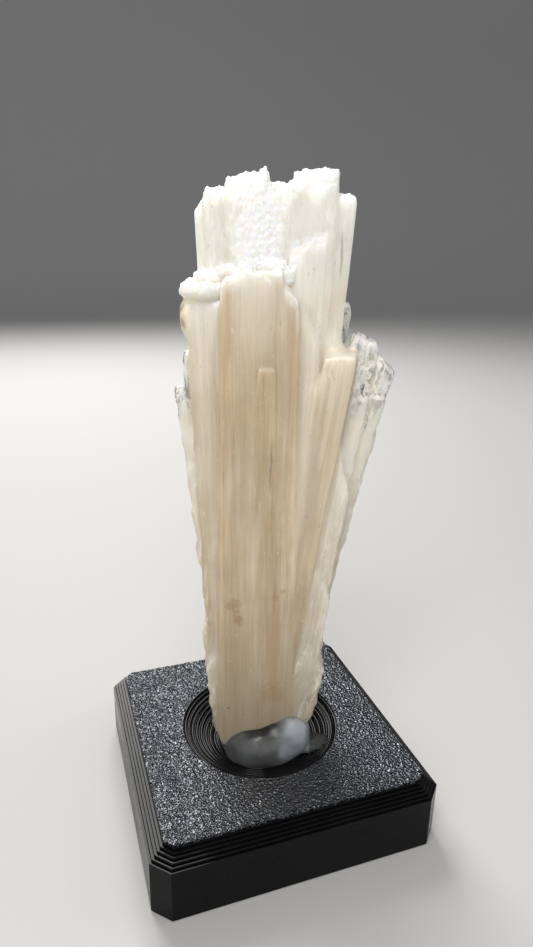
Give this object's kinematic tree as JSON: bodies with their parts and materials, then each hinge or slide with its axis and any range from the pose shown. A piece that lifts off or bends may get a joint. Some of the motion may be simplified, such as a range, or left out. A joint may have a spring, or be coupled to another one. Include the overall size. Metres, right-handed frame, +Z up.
{
  "type": "scolecite cluster on a display stand",
  "caption": "Fan of striated, milky tan scolecite crystals with clear edges, standing in the dish of a small black printed stand.",
  "frame": {"origin": "middle of the stand's underside", "axes": "+Z up; +X and +Y square to the stand's sides; the spray's broad face looks towards -Y and a little towards -X"},
  "size_m": [0.05, 0.05, 0.1084],
  "materials": {
    "printed_plastic": "satin black with a coarse sparkling grain on top and fine printed layers on the sides",
    "scolecite": "vitreous, milky and striated, tan in the middle, white at the top, clear at the edges",
    "putty": "soft gloss, cloudy grey and a little translucent"
  },
  "bodies": {
    "root": {"plinth": "printed_plastic", "crystal_cluster": "scolecite", "putty": "putty"}
  },
  "joints": []
}
